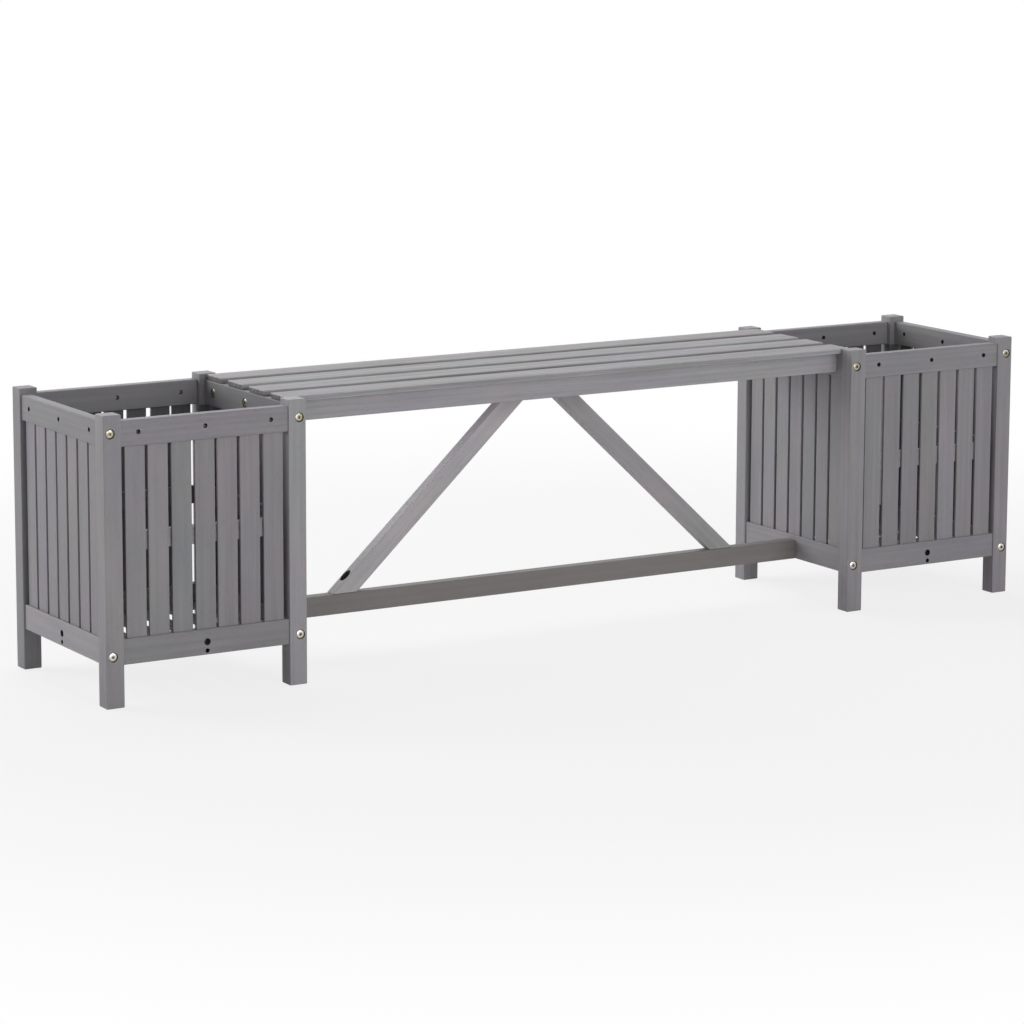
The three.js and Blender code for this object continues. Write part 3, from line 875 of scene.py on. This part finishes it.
low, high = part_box("stretcher")
stretcher = saw_board("low_stretcher", low, high)
round_arrises(stretcher, frame_arris, x_axis)
for end, into in ((low.x, x_axis), (high.x, -x_axis)):
    drill(stretcher, Vector((end, 0, low.z + frame_hole_rise)), into, stretcher_bolt_hole_depth,
          shank_hole_diameter)
    drill(stretcher, Vector((end, 0, low.z + dowel_hole_rise)), into, dowel_reach, dowel_hole_diameter)
for side in ("left", "right"):
    bolt_x = sum(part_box(f"brace_bolt_{side}"), Vector()).x / 2
    drill(stretcher, Vector((bolt_x, 0, high.z)), -z_axis, brace_bolt_hole_depth, shank_hole_diameter)
fit_board(stretcher, "x", stretcher_finish, "stretcher")

# Braces
# Two struts rise from the stretcher to the middle cleat. Each is sawn level at the foot and plumb
# at the top, and bored upright near the foot for a sunk bolt.
brace_width = 0.0265
brace_heel_inset = 0.155
brace_bore_diameter = 0.0145
brace_bore_floor_rise = 0.012
brace_spare = 0.06
brace_wash = (0.479, 0.464, 0.487)
brace_finish = grey_wash("brace_grey_wash", brace_wash)


def saw_off(board, point, away):
    """Saws off what lies past a point in one direction."""
    pick(board)
    bpy.ops.object.mode_set(mode="EDIT")
    bpy.ops.mesh.select_all(action="SELECT")
    bpy.ops.mesh.bisect(plane_co=point, plane_no=away, use_fill=True, clear_outer=True)
    bpy.ops.object.mode_set(mode="OBJECT")


for side, turn in (("left", 1), ("right", -1)):
    low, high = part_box(f"brace_{side}")
    rail_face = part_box("left_planter_top_rail_right")[1].x
    heel_x = turn * (rail_face + brace_heel_inset)
    top_x = high.x if side == "left" else low.x
    apron_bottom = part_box("apron_front")[0].z
    heel = Vector((heel_x, 0, low.z))
    crown = Vector((top_x, 0, apron_bottom))
    rise = (crown - heel).normalized()
    over = Vector((-rise.z * turn, 0, rise.x * turn))
    middle = (heel + crown) / 2 + over * brace_width / 2
    length = (crown - heel).length + 2 * brace_spare
    bpy.ops.object.select_all(action="DESELECT")
    bpy.ops.mesh.primitive_cube_add(size=1, location=middle, scale=(length, high.y - low.y, brace_width),
                                    rotation=(0, math.atan2(-rise.z, rise.x), 0))
    bpy.ops.object.transform_apply(location=True, rotation=True, scale=True)
    brace = bpy.context.object
    brace.name = f"{side}_brace"
    saw_off(brace, heel, -z_axis)
    saw_off(brace, crown, x_axis * turn)
    saw_off(brace, high, z_axis)
    round_arrises(brace, frame_arris)
    bolt_x = sum(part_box(f"brace_bolt_{side}"), Vector()).x / 2
    bore_top = high.z
    bore_depth = bore_top - low.z - brace_bore_floor_rise
    drill(brace, Vector((bolt_x, 0, bore_top)), -z_axis, bore_depth, brace_bore_diameter)
    drill(brace, Vector((bolt_x, 0, bore_top)), -z_axis, bore_top - low.z + cutter_overrun,
          shank_hole_diameter)
    fit_board(brace, (tuple(rise), (0, 1, 0), tuple(over)), brace_finish, f"brace_{side}")

# Dowels
# A beech dowel beside each stretcher bolt keeps the stretcher from turning. Its end shows, cut
# flush, inside the planter.
dowel_diameter = 0.006
dowel_sunk = 0.0004
dowel_arris = 0.0004
dowel_arris_steps = 2
dowel_wash = (0.45, 0.40, 0.32)
dowel_finish = grey_wash("dowel_beech", dowel_wash)

for planter, wall, into in (("left_planter", "right", x_axis), ("right_planter", "left", -x_axis)):
    rail_low, rail_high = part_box(f"{planter}_bottom_rail_{wall}")
    face = rail_low.x if wall == "right" else rail_high.x
    length = rail_high.x - rail_low.x + dowel_reach - 2 * dowel_sunk
    middle = Vector((face, 0, rail_low.z + dowel_hole_rise)) + into * (dowel_sunk + length / 2)
    bpy.ops.object.select_all(action="DESELECT")
    bpy.ops.mesh.primitive_cylinder_add(vertices=round_sides, radius=dowel_diameter / 2, depth=length,
                                        location=middle, rotation=(0, math.pi / 2, 0))
    bpy.ops.object.transform_apply(location=True, rotation=True, scale=True)
    dowel = bpy.context.object
    dowel.name = f"{planter}_dowel"
    pick(dowel)
    bpy.ops.object.mode_set(mode="EDIT")
    bpy.ops.mesh.select_mode(type="EDGE")
    bpy.ops.mesh.select_all(action="DESELECT")
    shape = bmesh.from_edit_mesh(dowel.data)
    for edge in shape.edges:
        edge.select_set(abs(edge.verts[0].co.x - edge.verts[1].co.x) < fit)
    bmesh.update_edit_mesh(dowel.data)
    bpy.ops.mesh.bevel(offset=dowel_arris, segments=dowel_arris_steps, affect="EDGES")
    bpy.ops.object.mode_set(mode="OBJECT")
    fit_board(dowel, "x", dowel_finish, f"{planter}_bottom_rail_{wall}")

# Bolts
# Socket head bolts of passivated steel, all of one kind in four lengths, hold the side rails between
# the legs, the bench between the planters and the braces on the stretcher.
bolt_head_diameter = 0.0125
bolt_head_height = 0.004
bolt_head_dome = 0.0013
bolt_head_flat = 0.0068
bolt_dome_steps = 6
bolt_diameter = 0.0058
bolt_tip_bevel = 0.0006
bolt_socket_size = 0.0046
bolt_socket_depth = 0.0016
socket_corners = 6
bolt_plating = (0.36, 0.33, 0.22)
# The paler plating stands for spots rubbed thin, and on the lower bolts also for a painted reflection of
# the bright floor
bolt_plating_worn_and_lit = (0.88, 0.84, 0.78)
# Painted shade: the socket is drawn dark
bolt_socket_painted_shade = (0.23, 0.165, 0.125)
# How far each bolt's plating is drawn paler: partly rubbed thin, partly painted reflection, palest low
# down by the bright floor
upper_bolt_wear_and_reflection = 0.2
lower_bolt_wear_and_reflection = 0.95
spots_to_metre = 260
spot_detail = 3
spot_rim = 0.4
spot_core = 0.6
spot_swing = 0.25
dull_roughness = 0.42
bright_roughness = 0.28
scratches_to_metre = 900
scratch_detail = 2
scratch_strength = 0.3
scratch_height = 0.0001
fitter = random.Random(5)


def plated_steel(name):
    """Bright steel under a thin yellow plating, paler where rubbed thin in spots and, as a painted
    reflection, on the lower bolts; the socket is drawn dark as painted shade.
    """
    finish = bpy.data.materials.new(name)
    finish.use_nodes = True
    surface = finish.node_tree.nodes["Principled BSDF"]
    surface.inputs["Metallic"].default_value = 1
    place = add_node(finish, "ShaderNodeTexCoord").outputs["Object"]
    spots = add_node(finish, "ShaderNodeTexNoise", inputs={
        "Vector": place, "Scale": spots_to_metre, "Detail": spot_detail}).outputs["Fac"]
    # Spots rubbed thin, plus how much paler each bolt is drawn, partly painted reflection
    rubbed_and_lit = sum_up(finish, spread(finish, spots, spot_rim, spot_core, -spot_swing, spot_swing),
                   mark_on(finish, "wear_and_reflection"))
    plating = mix_colours(finish, rubbed_and_lit, (*bolt_plating, 1), (*bolt_plating_worn_and_lit, 1))
    # Painted shade: the socket is drawn dark
    socket_shaded = mix_colours(finish, mark_on(finish, "bored"), plating, (*bolt_socket_painted_shade, 1))
    finish.node_tree.links.new(socket_shaded, surface.inputs["Base Color"])
    gloss = spread(finish, spots, noise_low, noise_high, dull_roughness, bright_roughness)
    finish.node_tree.links.new(gloss, surface.inputs["Roughness"])
    scratches = add_node(finish, "ShaderNodeTexNoise", inputs={
        "Vector": place, "Scale": scratches_to_metre, "Detail": scratch_detail}).outputs["Fac"]
    roughen(finish, scratches, scratch_strength, scratch_height)
    return finish


bolt_finish = plated_steel("plated_steel")


def pick_end(bolt, toward):
    """Selects the end face of a bolt in edit mode that looks up or down."""
    bpy.ops.mesh.select_mode(type="FACE")
    bpy.ops.mesh.select_all(action="DESELECT")
    shape = bmesh.from_edit_mesh(bolt.data)
    for face in shape.faces:
        face.select_set(face.normal.z * toward > along_axis)
    bmesh.update_edit_mesh(bolt.data)


def turn_bolt(name, length):
    """A bolt turned at the origin: its head's underside lies there and the head points up."""
    rim_height = bolt_head_height - bolt_head_dome
    bpy.ops.object.select_all(action="DESELECT")
    bpy.ops.mesh.primitive_cylinder_add(vertices=round_sides, radius=bolt_head_diameter / 2,
                                        depth=rim_height, location=(0, 0, rim_height / 2))
    bpy.ops.object.transform_apply(location=True, rotation=True, scale=True)
    bolt = bpy.context.object
    bolt.name = name
    bpy.ops.object.mode_set(mode="EDIT")
    pick_end(bolt, 1)
    slope = (bolt_head_diameter - bolt_head_flat) / 2
    for step in range(bolt_dome_steps):
        turn = math.pi / 2 * step / bolt_dome_steps
        next_turn = math.pi / 2 * (step + 1) / bolt_dome_steps
        bpy.ops.mesh.inset(thickness=slope * (math.cos(turn) - math.cos(next_turn)))
        rise = bolt_head_dome * (math.sin(next_turn) - math.sin(turn))
        bpy.ops.transform.translate(value=(0, 0, rise))
    pick_end(bolt, -1)
    bpy.ops.mesh.inset(thickness=(bolt_head_diameter - bolt_diameter) / 2)
    bpy.ops.mesh.extrude_region_move(TRANSFORM_OT_translate={"value": (0, 0, -length)})
    bpy.ops.mesh.bevel(offset=bolt_tip_bevel, segments=1, affect="EDGES")
    bpy.ops.object.mode_set(mode="OBJECT")
    drill(bolt, Vector((0, 0, bolt_head_height)), -z_axis, bolt_socket_depth, bolt_socket_size,
          socket_corners)
    return bolt


def drive_bolt(model, name, seat, pointing, wear_and_reflection, nodes):
    """Puts a bolt like the model in its hole, its head's underside on its seat."""
    bolt = another(model, name, Vector())
    spin = Matrix.Rotation(fitter.uniform(0, math.tau), 4, "Z")
    turn = pointing.to_track_quat("Z", "Y").to_matrix().to_4x4()
    bolt.data.transform(Matrix.Translation(seat) @ turn @ spin)
    mark_points(bolt.data, "wear_and_reflection", "FLOAT", np.full(len(bolt.data.vertices), wear_and_reflection))
    finish_off(bolt, bolt_finish, nodes)


leg_bolt_low, leg_bolt_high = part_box("left_planter_leg_bolt_left_top")
leg_bolt = turn_bolt("leg_bolt", leg_bolt_high.y - leg_bolt_low.y - bolt_head_height)
for planter in planters:
    for side in ("left", "right"):
        for level, wear_and_reflection in (("top", upper_bolt_wear_and_reflection), ("bottom", lower_bolt_wear_and_reflection)):
            node = f"{planter}_leg_bolt_{side}_{level}"
            low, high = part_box(node)
            middle = (low + high) / 2
            for row, pointing in (("front", -y_axis), ("back", y_axis)):
                seat = moved_to(middle, y=pointing.y * (-low.y - bolt_head_height))
                drive_bolt(leg_bolt, f"{planter}_{row}_{side}_{level}_bolt", seat, pointing, wear_and_reflection, [node])

brace_bolt_low, brace_bolt_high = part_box("brace_bolt_left")
brace_bolt = turn_bolt("brace_bolt", brace_bolt_high.z - brace_bolt_low.z - bolt_head_height)
stretcher_bolt_low, stretcher_bolt_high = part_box("stretcher_bolt_left")
stretcher_bolt = turn_bolt("stretcher_bolt",
                           stretcher_bolt_high.x - stretcher_bolt_low.x - bolt_head_height)
seat_bolt_low, seat_bolt_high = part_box("seat_bolt_left_back")
seat_bolt = turn_bolt("seat_bolt", seat_bolt_high.x - seat_bolt_low.x - bolt_head_height)
for side, pointing in (("left", -x_axis), ("right", x_axis)):
    low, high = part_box(f"brace_bolt_{side}")
    seat = moved_to((low + high) / 2, z=high.z - bolt_head_height)
    drive_bolt(brace_bolt, f"{side}_brace_bolt", seat, z_axis, lower_bolt_wear_and_reflection, [f"brace_bolt_{side}"])
    low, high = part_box("stretcher_bolt_left")
    seat = Vector((pointing.x * (-low.x - bolt_head_height), 0, (low.z + high.z) / 2))
    drive_bolt(stretcher_bolt, f"{side}_stretcher_bolt", seat, pointing, lower_bolt_wear_and_reflection,
               [f"stretcher_bolt_{side}"])
    for row, along in (("front", -1), ("centre", 0), ("back", 1)):
        seat = Vector((pointing.x * (-seat_bolt_low.x - bolt_head_height),
                       along * seat_bolt_middle.y, seat_bolt_middle.z))
        nodes = {"centre": ["seat_bolt_left_centre"], "back": ["seat_bolt_left_back"]}.get(row, [])
        drive_bolt(seat_bolt, f"{side}_seat_bolt_{row}", seat, pointing, upper_bolt_wear_and_reflection,
                   nodes if side == "left" else [])
for model in (leg_bolt, brace_bolt, stretcher_bolt, seat_bolt):
    bpy.data.objects.remove(model, do_unlink=True)
